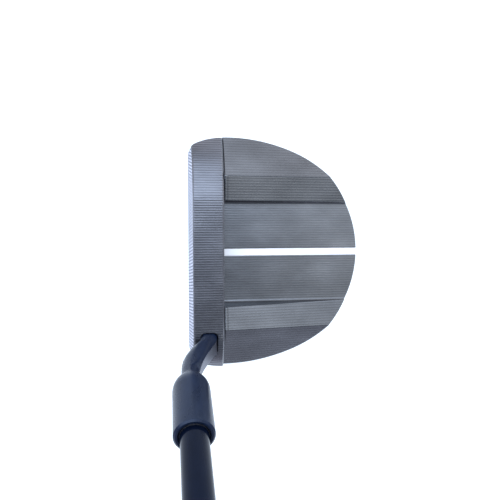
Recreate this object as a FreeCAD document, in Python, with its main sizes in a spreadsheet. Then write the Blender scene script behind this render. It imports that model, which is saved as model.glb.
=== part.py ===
import FreeCAD, Part
import math
import os
import re
import Sketcher

from FreeCAD import Placement, Rotation, Vector

# Mallet putter, right-handed, in millimetres.  +X points to the heel and the shaft, -Y to the
# side that meets the ball, +Z up.  The origin is on the ground, under the middle of the sole.

# Driving dimensions.  Every alias has an underscore, which is how expressions are recognised.
DIMENSIONS = [
    # Plan of the head.
    ("half_width", 50.1, "half the head's width at the seam"),
    ("lead_y", -36.4, "leading edge of the face, low on the face"),
    ("lead_height", 3.0, "height of the leading edge"),
    ("seam_y", -22.1, "joint between the front bar and the rear body"),
    ("shoulder_x", 44.9, "where the side arc meets the tail arc"),
    ("shoulder_y", 8.7, "where the side arc meets the tail arc"),
    ("side_radius", 70.0, "radius of the body's sides"),
    ("tail_radius", 48.4, "radius of the body's tail"),
    ("bar_half", 49.7, "half the bar's width at the seam"),
    ("corner_x", 47.2, "front corner of the bar, where its round begins"),
    ("corner_y", -33.3, "front corner of the bar, where its round begins"),
    ("corner_front", 43.0, "front corner of the bar, where its round ends"),
    ("corner_radius", 5.3, "radius of the bar's front corners"),
    ("end_radius", 28.0, "radius of the bar's ends in plan"),
    ("bar_front", -36.7, "front of the bar's blank, cut back to the face"),
    # Heights of the head.
    ("bar_height", 25.0, "top of the front bar"),
    ("toe_flat", -21.0, "where the bar's top begins to fall to the toe"),
    ("toe_fall", 9.6, "fall of the bar's top at the toe end"),
    ("heel_flat", 35.0, "where the bar's top begins to fall to the heel"),
    ("heel_fall", 7.0, "fall of the bar's top at the heel end"),
    ("end_x", 51.0, "where both falls are measured"),
    ("deck_height", 15.2, "floor of the body's channel"),
    ("channel_half", 22.1, "half width of the channel at its floor"),
    ("toe_lean", 0.9, "how far the toe-side wall leans out at the blank's top"),
    ("heel_lean", 2.3, "how far the heel-side wall leans out at the blank's top"),
    ("channel_round", 1.0, "round along the channel's floor"),
    ("wing_height", 22.1, "wing's inner edge at the seam"),
    ("ridge_height", 23.6, "wing's ridge at the seam"),
    ("ridge_x", 33.0, "distance of the ridge from the middle"),
    ("rim_height", 14.2, "wing's outer edge at the seam"),
    ("wing_fall", 0.11, "fall of the wings towards the tail, per millimetre"),
    ("lip_width", 1.8, "lip in front of the wings' inner facets"),
    ("lip_step", 0.35, "depth of the inner facets under the lip"),
    ("blank_height", 26.0, "height of the body's blank"),
    ("sole_chamfer", 3.0, "chamfer round the sole"),
    ("seam_chamfer", 0.7, "chamfer along the top of the seam"),
    # Face.
    ("face_loft", 3.0, "loft of the face, in degrees"),
    ("insert_depth", 3.0, "thickness of the face insert"),
    ("bond_depth", 0.15, "thickness of the adhesive behind the insert"),
    ("insert_end", 45.4, "half length of the insert at its top"),
    ("insert_base", 41.5, "half length of the insert at its bottom"),
    ("insert_low", 3.4, "bottom of the insert"),
    ("insert_rim", 0.8, "rim of the bar left above the insert"),
    ("insert_corner", 7.0, "height where the insert's ends begin to turn in"),
    # Sight line.
    ("line_width", 3.1, "width of the sight line"),
    ("line_depth", 0.6, "depth of the sight line's slot"),
    # Neck.
    ("foot_toe", 33.9, "toe side of the neck's foot"),
    ("foot_heel", 43.0, "heel side of the neck's foot"),
    ("foot_front", -32.0, "front of the neck's foot"),
    ("foot_rear", -25.2, "rear of the neck's foot"),
    ("foot_round", 1.8, "round of the foot's corners"),
    ("foot_gap", 0.3, "gap between the foot and its pocket"),
    ("foot_floor", 12.0, "floor of the neck's pocket"),
    ("hosel_x", 54.9, "centre of the sleeve's rim"),
    ("hosel_y", -37.8, "centre of the sleeve's rim"),
    ("hosel_z", 81.25, "centre of the sleeve's rim"),
    ("lie_angle", 70.0, "lie of the shaft, in degrees"),
    ("sleeve_radius", 6.9, "outer radius of the sleeve"),
    ("sleeve_length", 21.5, "length of the sleeve's cylinder"),
    ("shoulder_length", 10.0, "length of the shoulder under the sleeve"),
    ("shoulder_radius", 5.9, "radius where the shoulder's cone meets its round"),
    ("shoulder_cone", 5.2, "length of the shoulder's cone"),
    ("shoulder_round", 8.0, "radius of the shoulder's round"),
    ("neck_radius", 3.3, "radius of the neck under the shoulder"),
    ("bend_z", 37.0, "height of the neck's middle section"),
    ("bend_toe", 36.6, "toe side of the neck's middle section"),
    ("bend_heel", 43.6, "heel side of the neck's middle section"),
    ("bend_front", -38.9, "front of the neck's middle section"),
    ("bend_rear", -29.9, "rear of the neck's middle section"),
    ("bend_round", 3.0, "round of the neck's middle section"),
    ("mouth_radius", 5.5, "radius of the bore's countersunk mouth"),
    ("mouth_depth", 1.2, "depth of the bore's countersunk mouth"),
    ("rim_chamfer", 0.7, "chamfer round the sleeve's rim"),
    ("bore_depth", 24.0, "depth of the shaft's bore"),
    # Shaft and grip.
    ("tip_radius", 4.8, "radius of the shaft's tip"),
    ("bond_gap", 0.1, "thickness of the adhesive round the tip"),
    ("tube_wall", 0.5, "wall of the shaft's tube"),
    ("butt_radius", 7.6, "radius of the shaft's butt"),
    ("tip_length", 190.0, "length of the shaft's even tip above the rim"),
    ("step_pitch", 34.0, "distance between the shaft's steps"),
    ("step_count", 9, "number of steps in the shaft"),
    ("shaft_top", 774.0, "butt end of the shaft above the rim"),
    ("tape_wall", 0.25, "thickness of the grip's tape"),
    ("grip_length", 262.0, "length of the grip's sleeve"),
    ("cap_length", 5.0, "thickness of the grip's end cap"),
    ("vent_radius", 1.5, "radius of the cap's vent"),
    ("cap_chamfer", 1.2, "chamfer round the cap's end"),
    # Screws, pins and weights.
    ("screw_radius", 2.0, "shank of the screws that join the bar and the body"),
    ("screw_head", 3.5, "head radius of those screws"),
    ("screw_head_length", 3.8, "head length of those screws"),
    ("screw_length", 18.0, "shank length of those screws"),
    ("screw_height", 8.0, "height of those screws above the ground"),
    ("screw_front", -32.2, "front of those screws' heads"),
    ("screw_room", 0.2, "room round the heads and shanks in clearance holes"),
    ("screw_inner", 13.0, "distance of the inner screws from the middle"),
    ("screw_outer", 30.0, "distance of the outer screws from the middle"),
    ("dowel_radius", 2.0, "radius of the pins between the bar and the body"),
    ("dowel_length", 12.0, "length of those pins"),
    ("dowel_x", 21.5, "distance of those pins from the middle"),
    ("neck_screw_x", 39.8, "place of the neck's screw"),
    ("neck_screw_radius", 2.5, "shank of the neck's screw"),
    ("neck_screw_head", 4.25, "head radius of the neck's screw"),
    ("neck_screw_head_length", 5.0, "head length of the neck's screw"),
    ("neck_screw_sink", 0.8, "depth of that head under the sole"),
    ("neck_screw_length", 17.0, "shank length of the neck's screw"),
    ("neck_pin_x", 35.8, "place of the neck's pin"),
    ("neck_pin_radius", 1.25, "radius of the neck's pin"),
    ("neck_pin_length", 7.0, "length of the neck's pin"),
    ("weight_x", 30.0, "distance of the sole weights from the middle"),
    ("weight_y", 3.0, "place of the sole weights along the head"),
    ("weight_radius", 10.0, "radius of the sole weights"),
    ("weight_length", 6.6, "thickness of the sole weights"),
    ("weight_sink", 0.6, "depth of the weights under the sole"),
    ("weight_gap", 0.15, "gap round the weights"),
    ("washer_length", 0.6, "thickness of the washers over the weights"),
    ("weight_screw_radius", 2.0, "shank of the weights' screws"),
    ("weight_screw_head", 4.0, "head radius of the weights' screws"),
    ("weight_screw_cone", 2.2, "height of the head's cone"),
    ("weight_screw_length", 13.0, "whole length of the weights' screws"),
    ("weight_pilot", 12.0, "depth of the tapped hole above each weight's pocket"),
    ("socket_flats", 3.0, "size across the flats of the screws' sockets"),
    ("socket_depth", 1.8, "depth of the screws' sockets"),
]

# Sections of the grip from its mouth to its butt: place along the sleeve as a share of its length,
# radius of the round side, distance of the flat side, and shift of the round side to the palm.
GRIP_SECTIONS = {
    "mouth": (0.0, 10.2, 8.9, 0.0),
    "lower": (0.25, 11.6, 9.3, 0.3),
    "waist": (0.55, 12.6, 9.6, 0.8),
    "upper": (0.8, 12.9, 9.7, 1.2),
    "butt": (1.0, 14.6, 9.8, 3.0),
}
for section, numbers in GRIP_SECTIONS.items():
    for part, number in zip(("share", "radius", "flat", "shift"), numbers):
        DIMENSIONS.append(("grip_%s_%s" % (section, part), number, "grip's section at its " + section))

doc = FreeCAD.newDocument("mallet_putter")
sheet = doc.addObject("Spreadsheet::Sheet", "dims")
for row, (alias, number, meaning) in enumerate(DIMENSIONS, start=1):
    sheet.set("A%d" % row, meaning)
    sheet.set("B%d" % row, str(number))
    sheet.setAlias("B%d" % row, alias)
doc.recompute()

TILT = "90 - lie_angle"
AT_SEAM = (0, 0, "-seam_y")
FACE_FOOT = (0, 0, "lead_height * tan(face_loft * 1 deg) - lead_y")
LEAN_BACK = ((1, 0, 0), "-face_loft")
TOE_ARC = "((end_x + toe_flat) ^ 2 + toe_fall ^ 2) / (2 * toe_fall)"
HEEL_ARC = "((end_x - heel_flat) ^ 2 + heel_fall ^ 2) / (2 * heel_fall)"
TAIL_CENTRE = "(shoulder_y - sqrt(tail_radius ^ 2 - shoulder_x ^ 2))"
SCREW_SHOULDER = "(screw_front + screw_head_length)"
OUTER_HEIGHT = "(rim_height - 2 * (ridge_height - rim_height) / (half_width - ridge_x))"
FOOT_MIDDLE = "(foot_front + foot_rear) / 2"
SCREWS = ("-screw_outer", "-screw_inner", "screw_inner", "screw_outer")
PINS = ("-dowel_x", "dowel_x")
WEIGHTS = ("-weight_x", "weight_x")
pieces = []


def bound(text):
    """The expression with each alias addressed through the sheet."""
    return re.sub(r"\b([a-z]+(?:_[a-z]+)+)\b", r"dims.\1", str(text))


def value(text):
    """The number that an expression gives now."""
    return float(sheet.evalExpression(bound(text)))


def bind(thing, name, text):
    """Tie one property of an object to an expression of the sheet."""
    thing.setExpression(name, bound(text))


def new_body(label):
    """A sub-part that is built from sketches."""
    body = doc.addObject("PartDesign::Body", label)
    body.Label = label
    pieces.append(body)
    return body


def along_shaft(thing):
    """Stand a sub-part on the shaft's axis, with its zero at the middle of the sleeve's rim."""
    thing.Placement = Placement(Vector(0, 0, 0), Rotation(Vector(0, 1, 0), 1))
    bind(thing, "Placement.Base.x", "hosel_x")
    bind(thing, "Placement.Base.y", "hosel_y")
    bind(thing, "Placement.Base.z", "hosel_z")
    bind(thing, "Placement.Rotation.Angle", TILT)


def new_sketch(body, role, offset=(0, 0, 0), turn=None):
    """A sketch on one of the body's planes, moved by expressions and turned about its own X."""
    plane = next(item for item in body.Origin.OriginFeatures if item.Role == role)
    sketch = body.newObject("Sketcher::SketchObject", body.Label + "_sketch")
    sketch.AttachmentSupport = [(plane, "")]
    sketch.MapMode = "FlatFace"
    if turn is not None:
        sketch.AttachmentOffset = Placement(Vector(0, 0, 0), Rotation(Vector(*turn[0]), 1))
        bind(sketch, "AttachmentOffset.Rotation.Angle", turn[1])
    for axis, text in zip("xyz", offset):
        bind(sketch, "AttachmentOffset.Base." + axis, text)
    return sketch


def pin_point(sketch, edge, end, x, y):
    """Hold one point of a sketch at a place given by two expressions."""
    for kind, text in (("DistanceX", x), ("DistanceY", y)):
        number = sketch.addConstraint(Sketcher.Constraint(kind, -1, 1, edge, end, value(text)))
        sketch.setExpression("Constraints[%d]" % number, bound(text))


def arc_between(start, finish, radius, side):
    """The short arc between two points; side 1 bulges to the right of the way, -1 to the left."""
    middle = (start + finish) * 0.5
    half = (finish - start).Length / 2
    across = Vector(start.y - finish.y, finish.x - start.x, 0).normalize()
    centre = middle + across * side * math.sqrt(radius ** 2 - half ** 2)
    first, last = (start, finish) if side > 0 else (finish, start)
    angles = [math.atan2(point.y - centre.y, point.x - centre.x) for point in (first, last)]
    return Part.ArcOfCircle(Part.Circle(centre, Vector(0, 0, 1), radius), *angles)


def outline(sketch, corners, arcs=None):
    """A closed outline through the corners.  Edge i leaves corner i and is straight unless arcs
    gives it a radius and the side to which it bulges."""
    arcs = arcs or {}
    points = [Vector(value(x), value(y), 0) for x, y in corners]
    ends = []
    for index, (start, finish) in enumerate(zip(points, points[1:] + points[:1])):
        if index in arcs:
            radius, side = arcs[index]
            edge = sketch.addGeometry(arc_between(start, finish, value(radius), side))
            number = sketch.addConstraint(Sketcher.Constraint("Radius", edge, value(radius)))
            sketch.setExpression("Constraints[%d]" % number, bound(radius))
            ends.append((edge, 1, 2) if side > 0 else (edge, 2, 1))
        else:
            ends.append((sketch.addGeometry(Part.LineSegment(start, finish)), 1, 2))
    for index, (edge, first, _) in enumerate(ends):
        before, _, last = ends[index - 1]
        pin_point(sketch, edge, first, *corners[index])
        sketch.addConstraint(Sketcher.Constraint("Coincident", before, last, edge, first))


def rounded_box(x_low, x_high, y_low, y_high, radius):
    """Corners and arcs of a rectangle with round corners, for outline."""
    left, right = "(%s) + (%s)" % (x_low, radius), "(%s) - (%s)" % (x_high, radius)
    low, high = "(%s) + (%s)" % (y_low, radius), "(%s) - (%s)" % (y_high, radius)
    corners = [(left, y_low), (right, y_low), (x_high, low), (x_high, high),
               (right, y_high), (left, y_high), (x_low, high), (x_low, low)]
    return corners, {edge: (radius, 1) for edge in (1, 3, 5, 7)}


def circle(sketch, x, y, radius):
    """A circle whose centre and radius are expressions."""
    shape = Part.Circle(Vector(value(x), value(y), 0), Vector(0, 0, 1), value(radius))
    edge = sketch.addGeometry(shape)
    pin_point(sketch, edge, 3, x, y)
    number = sketch.addConstraint(Sketcher.Constraint("Radius", edge, value(radius)))
    sketch.setExpression("Constraints[%d]" % number, bound(radius))


def feature(body, kind, sketch, **settings):
    """Add a sketch-based feature to a body, bind its sizes and stop if it changes nothing."""
    doc.recompute()
    before = body.Shape.Volume if body.Tip else 0.0
    made = body.newObject("PartDesign::" + kind, body.Label + "_" + kind.lower())
    made.Profile = sketch
    for name, setting in settings.items():
        if name in ("Length", "Angle"):
            bind(made, name, setting)
        else:
            setattr(made, name, setting)
    doc.recompute()
    change = body.Shape.Volume - before
    removes = kind in ("Pocket", "Groove")
    if change >= 0 if removes else change <= 0:
        raise RuntimeError("%s of %s does nothing: %.3f" % (kind, body.Label, change))
    return made


def pocket_up(body, x, y, radius, start, length):
    """Bore a round hole upwards from a height."""
    sketch = new_sketch(body, "XY_Plane", (0, 0, start))
    circle(sketch, x, y, radius)
    feature(body, "Pocket", sketch, Length=length, Reversed=True)


def pocket_back(body, x, z, radius, start, length):
    """Bore a round hole from a place on Y towards the rear."""
    sketch = new_sketch(body, "XZ_Plane", (0, 0, "-(%s)" % start))
    circle(sketch, x, z, radius)
    feature(body, "Pocket", sketch, Length=length)


def chamfer(body, size, chosen):
    """Chamfer the edges of a body whose middle point passes the test."""
    doc.recompute()
    last = body.Tip
    names = []
    for number, edge in enumerate(body.Shape.Edges, start=1):
        middle = edge.valueAt((edge.FirstParameter + edge.LastParameter) / 2)
        if chosen(middle, edge):
            names.append("Edge%d" % number)
    if not names:
        raise RuntimeError("no edge of %s to chamfer" % body.Label)
    made = body.newObject("PartDesign::Chamfer", body.Label + "_chamfer")
    made.Base = (last, names)
    bind(made, "Size", size)
    doc.recompute()


def revolved(body, corners, arcs=None):
    """Turn a half profile of radius and height round the body's own Z."""
    sketch = new_sketch(body, "XZ_Plane")
    outline(sketch, corners, arcs)
    axis = next(item for item in body.Origin.OriginFeatures if item.Role == "Z_Axis")
    feature(body, "Revolution", sketch, ReferenceAxis=(axis, [""]))


def tool(kind, name, placement=None, **sizes):
    """A Part primitive whose sizes are expressions."""
    made = doc.addObject("Part::" + kind, name)
    for size, text in sizes.items():
        bind(made, size, text)
    if placement is not None:
        made.Placement = placement
    return made


def joined(kind, name, base, other):
    """A Part boolean of two objects."""
    made = doc.addObject("Part::" + kind, name)
    made.Base = base
    made.Tool = other
    return made


def group(label, members):
    """Identical separate pieces that share one node."""
    made = doc.addObject("Part::Compound", label)
    made.Label = label
    made.Links = members
    pieces.append(made)


def bar_top(inset):
    """Corners and arcs of the bar's top as seen from the front, from toe to heel."""
    top = "bar_height - (%s)" % inset
    return [("-end_x", "%s - toe_fall" % top), ("toe_flat", top),
            ("heel_flat", top), ("end_x", "%s - heel_fall" % top)]


def insert_outline(sketch):
    """The insert's outline on the face: flat on top, falling to both ends, narrower at its foot."""
    toe_top = ("bar_height - insert_rim - (%s - sqrt((%s) ^ 2 - (insert_end + toe_flat) ^ 2))"
               % (TOE_ARC, TOE_ARC))
    heel_top = ("bar_height - insert_rim - (%s - sqrt((%s) ^ 2 - (insert_end - heel_flat) ^ 2))"
                % (HEEL_ARC, HEEL_ARC))
    corners = [("-insert_base", "insert_low"), ("insert_base", "insert_low"),
               ("insert_end - 0.6", "insert_corner"), ("insert_end", heel_top),
               ("heel_flat", "bar_height - insert_rim"), ("toe_flat", "bar_height - insert_rim"),
               ("-insert_end", toe_top), ("0.6 - insert_end", "insert_corner")]
    arcs = {1: ("insert_corner", 1), 3: (HEEL_ARC, 1), 5: (TOE_ARC, 1), 7: ("insert_corner", 1)}
    outline(sketch, corners, arcs)


def make_front_bar():
    """Machined bar behind the face, with the recess for the insert and the neck's pocket."""
    body = new_body("front_bar")
    plan = new_sketch(body, "XY_Plane")
    corners = [("-bar_half", "seam_y"), ("-corner_x", "corner_y"), ("-corner_front", "bar_front"),
               ("corner_front", "bar_front"), ("corner_x", "corner_y"), ("bar_half", "seam_y")]
    ends = ("end_radius", 1)
    rounds = ("corner_radius", 1)
    outline(plan, corners, {0: ends, 1: rounds, 3: rounds, 4: ends})
    feature(body, "Pad", plan, Length="bar_height")
    above = new_sketch(body, "XZ_Plane", AT_SEAM)
    roof = [("end_x", "bar_height + 2"), ("-end_x", "bar_height + 2")]
    outline(above, bar_top(0) + roof, {0: (TOE_ARC, -1), 2: (HEEL_ARC, -1)})
    feature(body, "Pocket", above, Type="ThroughAll", Reversed=True)
    before_face = new_sketch(body, "YZ_Plane")
    lean = "lead_y + (%s - lead_height) * tan(face_loft * 1 deg)"
    wedge = [(lean % "-1", "-1"), (lean % "(bar_height + 1)", "bar_height + 1"),
             ("lead_y - 4", "bar_height + 1"), ("lead_y - 4", "-1")]
    outline(before_face, wedge)
    feature(body, "Pocket", before_face, Type="ThroughAll", SideType="Symmetric")
    seam = value("seam_y")
    chamfer(body, "sole_chamfer", lambda middle, edge: middle.z < 0.01 and middle.y < seam - 0.5)
    chamfer(body, "seam_chamfer", lambda middle, edge: middle.z > 10
            and abs(middle.y - seam) < 0.01
            and edge.BoundBox.YLength < 0.01
            and edge.BoundBox.XLength > 5)
    recess = new_sketch(body, "XZ_Plane", FACE_FOOT, LEAN_BACK)
    insert_outline(recess)
    feature(body, "Pocket", recess, Length="insert_depth + bond_depth")
    seat = new_sketch(body, "XY_Plane", (0, 0, "foot_floor"))
    outline(seat, *rounded_box("foot_toe - foot_gap", "foot_heel + foot_gap", "foot_front - foot_gap",
                               "foot_rear + foot_gap", "foot_round + foot_gap"))
    feature(body, "Pocket", seat, Length="bar_height", Reversed=True)
    for x in SCREWS:
        room = "screw_head + screw_room"
        pocket_back(body, x, "screw_height", room, "screw_front - 1", "screw_head_length + 1")
        pocket_back(body, x, "screw_height", "screw_radius + screw_room", "screw_front", "20")
    for x in PINS:
        start = "seam_y - dowel_length / 2"
        pocket_back(body, x, "screw_height", "dowel_radius", start, "dowel_length")
    pocket_up(body, "neck_screw_x", FOOT_MIDDLE, "neck_screw_head + screw_room", "0",
              "neck_screw_sink + neck_screw_head_length")
    pocket_up(body, "neck_screw_x", FOOT_MIDDLE, "neck_screw_radius + screw_room",
              "0", "foot_floor + 1")
    pocket_up(body, "neck_pin_x", FOOT_MIDDLE, "neck_pin_radius",
              "foot_floor - neck_pin_length / 2", "neck_pin_length")


def make_face_insert():
    """Bright milled plate that meets the ball."""
    body = new_body("face_insert")
    sketch = new_sketch(body, "XZ_Plane", FACE_FOOT, LEAN_BACK)
    insert_outline(sketch)
    feature(body, "Pad", sketch, Length="insert_depth", Reversed=True)


def make_insert_bond():
    """Film of adhesive behind the insert."""
    body = new_body("insert_bond")
    sketch = new_sketch(body, "XZ_Plane", FACE_FOOT, LEAN_BACK)
    insert_outline(sketch)
    feature(body, "Pad", sketch, Length="insert_depth + bond_depth", Reversed=True)
    front = new_sketch(body, "XZ_Plane", FACE_FOOT, LEAN_BACK)
    insert_outline(front)
    feature(body, "Pocket", front, Length="insert_depth")


def make_rear_body():
    """D-shaped body with a sunken channel between two faceted wings."""
    body = new_body("rear_body")
    plan = new_sketch(body, "XY_Plane")
    corners = [("-half_width", "seam_y"), ("-shoulder_x", "shoulder_y"),
               ("shoulder_x", "shoulder_y"), ("half_width", "seam_y")]
    side = ("side_radius", -1)
    outline(plan, corners, {0: side, 1: ("tail_radius", -1), 2: side})
    feature(body, "Pad", plan, Length="blank_height")
    channel = new_sketch(body, "XZ_Plane", AT_SEAM)
    floor = "channel_half - channel_round"
    wall = ("channel_half", "deck_height + channel_round")
    corners = [("-(%s)" % floor, "deck_height"), (floor, "deck_height"), wall,
               ("channel_half + heel_lean", "blank_height + 1"),
               ("-(channel_half + toe_lean)", "blank_height + 1"), ("-channel_half", wall[1])]
    outline(channel, corners, {1: ("channel_round", 1), 5: ("channel_round", 1)})
    feature(body, "Pocket", channel, Type="ThroughAll")
    falling = Vector(0, 1, -value("wing_fall"))
    wings = new_sketch(body, "XZ_Plane", AT_SEAM)
    inner = "channel_half - 2"
    half = [(inner, "wing_height"), ("ridge_x", "ridge_height"), ("half_width + 2", OUTER_HEIGHT),
            ("half_width + 2", "blank_height + 9")]
    corners = half + [("-(%s)" % x, z) for x, z in reversed(half)]
    outline(wings, corners)
    feature(body, "Pocket", wings, Type="ThroughAll", UseCustomVector=True, Direction=falling)
    for side in ("-", ""):
        facet = new_sketch(body, "XZ_Plane", (0, 0, "-(seam_y + lip_width)"))
        drop = "lip_step + wing_fall * lip_width"
        corners = [(side + "(%s)" % inner, "wing_height - (%s)" % drop),
                   (side + "ridge_x", "ridge_height - (%s)" % drop),
                   (side + "ridge_x", "blank_height + 9"),
                   (side + "(%s)" % inner, "blank_height + 9")]
        outline(facet, corners)
        feature(body, "Pocket", facet, Type="ThroughAll", UseCustomVector=True,
                Direction=falling)
    slot = new_sketch(body, "XZ_Plane", AT_SEAM)
    corners = [("-line_width / 2", "deck_height - line_depth"),
               ("line_width / 2", "deck_height - line_depth"),
               ("line_width / 2", "deck_height + 1"), ("-line_width / 2", "deck_height + 1")]
    outline(slot, corners)
    feature(body, "Pocket", slot, Type="ThroughAll")
    seam = value("seam_y")
    chamfer(body, "sole_chamfer", lambda middle, edge: middle.z < 0.01 and middle.y > seam + 0.5)
    for x in SCREWS:
        pocket_back(body, x, "screw_height", "screw_radius", "seam_y",
                    SCREW_SHOULDER + " + screw_length + 1 - seam_y")
    for x in PINS:
        pocket_back(body, x, "screw_height", "dowel_radius", "seam_y", "dowel_length / 2")
    for x in WEIGHTS:
        pocket_up(body, x, "weight_y", "weight_radius + weight_gap", "0",
                  "weight_sink + weight_length + washer_length")
        pocket_up(body, x, "weight_y", "weight_screw_radius", "weight_sink", "weight_pilot + 2")


def make_sight_line():
    """White line filled into its slot from the seam to the tail."""
    body = new_body("sight_line")
    sketch = new_sketch(body, "XY_Plane", (0, 0, "deck_height - line_depth"))
    tail = TAIL_CENTRE + " + sqrt(tail_radius ^ 2 - (line_width / 2) ^ 2)"
    start = "seam_y + seam_chamfer"
    corners = [("-line_width / 2", start), ("line_width / 2", start),
               ("line_width / 2", tail), ("-line_width / 2", tail)]
    outline(sketch, corners, {2: ("tail_radius", 1)})
    feature(body, "Pad", sketch, Length="line_depth")


def make_neck():
    """Black steel neck: a foot in the bar, a slanting bend and a sleeve for the shaft."""
    body = new_body("neck")
    foot = rounded_box("foot_toe", "foot_heel", "foot_front", "foot_rear", "foot_round")
    sketch = new_sketch(body, "XY_Plane", (0, 0, "foot_floor"))
    outline(sketch, *foot)
    feature(body, "Pad", sketch, Length="bar_height - foot_floor")
    throat_x = "(hosel_x - (sleeve_length + shoulder_length) * cos(lie_angle * 1 deg))"
    throat_z = "hosel_z - (sleeve_length + shoulder_length) * sin(lie_angle * 1 deg)"
    bend = rounded_box("bend_toe", "bend_heel", "bend_front", "bend_rear", "bend_round")
    throat = rounded_box(throat_x + " - neck_radius", throat_x + " + neck_radius",
                         "hosel_y - neck_radius", "hosel_y + neck_radius", "neck_radius - 0.1")
    sections = []
    for height, shape in (("bar_height", foot), ("bend_z", bend), (throat_z, throat)):
        section = new_sketch(body, "XY_Plane", (0, 0, height))
        outline(section, *shape)
        sections.append(section)
    feature(body, "AdditiveLoft", sections[0], Sections=sections[1:])
    sleeve = new_sketch(body, "XZ_Plane", ("hosel_x", "hosel_z", "-hosel_y"),
                        ((0, 0, 1), "lie_angle - 90"))
    bore = "tip_radius + bond_gap"
    throat_end = "-sleeve_length - shoulder_length"
    corners = [("0", throat_end + " - 1"), ("neck_radius", throat_end + " - 1"),
               ("neck_radius", throat_end), ("shoulder_radius", throat_end + " + shoulder_cone"),
               ("sleeve_radius", "-sleeve_length"), ("sleeve_radius", "-rim_chamfer"),
               ("sleeve_radius - rim_chamfer", "0"), ("mouth_radius", "0"), (bore, "-mouth_depth"),
               (bore, "-bore_depth"), ("0", "-bore_depth")]
    outline(sleeve, corners, {3: ("shoulder_round", 1)})
    feature(body, "Revolution", sleeve, ReferenceAxis=(sleeve, ["V_Axis"]))
    pocket_up(body, "neck_screw_x", FOOT_MIDDLE, "neck_screw_radius", "foot_floor",
              "neck_screw_sink + neck_screw_head_length + neck_screw_length - foot_floor + 0.5")
    pocket_up(body, "neck_pin_x", FOOT_MIDDLE, "neck_pin_radius", "foot_floor",
              "neck_pin_length / 2")


def make_shaft():
    """Stepped steel tube, thin at the tip and thick at the butt."""
    body = new_body("shaft")
    along_shaft(body)
    steps = int(value("step_count"))
    outer = [("tip_radius", "-bore_depth")]
    for step in range(steps):
        place = "tip_length + %d * step_pitch" % step
        radius = "tip_radius + (butt_radius - tip_radius) * %d / %d"
        outer.append((radius % (step, steps), place))
        outer.append((radius % (step + 1, steps), place + " + 3"))
    outer.append(("butt_radius", "shaft_top"))
    inner = [("%s - tube_wall" % radius, place) for radius, place in reversed(outer)]
    revolved(body, outer + inner)


def make_shaft_bond():
    """Adhesive between the shaft's tip and the bore, with its fillet in the mouth."""
    body = new_body("shaft_bond")
    along_shaft(body)
    corners = [("tip_radius", "-bore_depth"), ("tip_radius + bond_gap", "-bore_depth"),
               ("tip_radius + bond_gap", "-mouth_depth"), ("mouth_radius - 0.2", "-0.3"),
               ("tip_radius", "-0.3")]
    revolved(body, corners)


def grip_section(body, section, place):
    """A round section with one flat side, where the thumbs lie."""
    sketch = new_sketch(body, "XY_Plane", (0, 0, place))
    radius, flat, shift = ("grip_%s_%s" % (section, part) for part in ("radius", "flat", "shift"))
    half = "sqrt(%s ^ 2 - (%s + %s) ^ 2)" % (radius, flat, shift)
    corners = [("-" + flat, "-" + half), (shift + " + " + radius, "0"), ("-" + flat, half)]
    outline(sketch, corners, {0: (radius, 1), 1: (radius, 1)})
    return sketch


def make_grip():
    """Rubber sleeve of the grip, with a flat front and a swell for the palm."""
    body = new_body("grip")
    along_shaft(body)
    sections = []
    for section in GRIP_SECTIONS:
        place = "shaft_top - grip_length * (1 - grip_%s_share)" % section
        sections.append(grip_section(body, section, place))
    feature(body, "AdditiveLoft", sections[0], Sections=sections[1:])
    bore = new_sketch(body, "XY_Plane", (0, 0, "shaft_top - grip_length"))
    circle(bore, "0", "0", "butt_radius + tape_wall")
    feature(body, "Pocket", bore, Length="grip_length", Reversed=True)


def make_grip_tape():
    """Tape that holds the grip on the shaft."""
    body = new_body("grip_tape")
    along_shaft(body)
    low = "shaft_top - grip_length"
    revolved(body, [("butt_radius", low), ("butt_radius + tape_wall", low),
                    ("butt_radius + tape_wall", "shaft_top"), ("butt_radius", "shaft_top")])


def make_grip_cap():
    """Moulded end cap of the grip, with its vent."""
    body = new_body("grip_cap")
    along_shaft(body)
    feature(body, "Pad", grip_section(body, "butt", "shaft_top"), Length="cap_length")
    end = value("shaft_top + cap_length")
    local = body.Placement.inverse()
    chamfer(body, "cap_chamfer", lambda middle, edge: local.multVec(middle).z > end - 0.01)
    vent = new_sketch(body, "XY_Plane", (0, 0, "shaft_top"))
    circle(vent, "0", "0", "vent_radius")
    feature(body, "Pocket", vent, Length="cap_length", Reversed=True)


def socket_screw(name, head, head_length, shank, shank_length, flats):
    """Cap screw that points up from its head, with its zero on the top of the head."""
    top = tool("Cylinder", name + "_head", Radius=head, Height=head_length)
    stem = tool("Cylinder", name + "_shank", Radius=shank,
                Height="%s + %s" % (head_length, shank_length))
    hexagon = tool("Prism", name + "_socket", Circumradius="(%s) / sqrt(3)" % flats,
                   Height="socket_depth")
    hexagon.Polygon = 6
    solid = joined("Fuse", name + "_solid", top, stem)
    return joined("Cut", name, solid, hexagon)


def make_body_screws():
    """Cap screws behind the insert that draw the rear body against the bar."""
    screws = []
    for number, x in enumerate(SCREWS, start=1):
        screw = socket_screw("body_screw_%d" % number, "screw_head", "screw_head_length",
                             "screw_radius", "screw_length", "socket_flats")
        screw.Placement = Placement(Vector(0, 0, 0), Rotation(Vector(1, 0, 0), -90))
        for axis, text in zip("xyz", (x, "screw_front", "screw_height")):
            bind(screw, "Placement.Base." + axis, text)
        screws.append(screw)
    group("body_screws", screws)


def make_body_dowels():
    """Pins that place the rear body on the bar."""
    dowels = []
    for number, x in enumerate(PINS, start=1):
        backwards = Placement(Vector(0, 0, 0), Rotation(Vector(1, 0, 0), -90))
        dowel = tool("Cylinder", "body_dowel_%d" % number, backwards,
                     Radius="dowel_radius", Height="dowel_length")
        for axis, text in zip("xyz", (x, "seam_y - dowel_length / 2", "screw_height")):
            bind(dowel, "Placement.Base." + axis, text)
        dowels.append(dowel)
    group("body_dowels", dowels)


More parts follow.
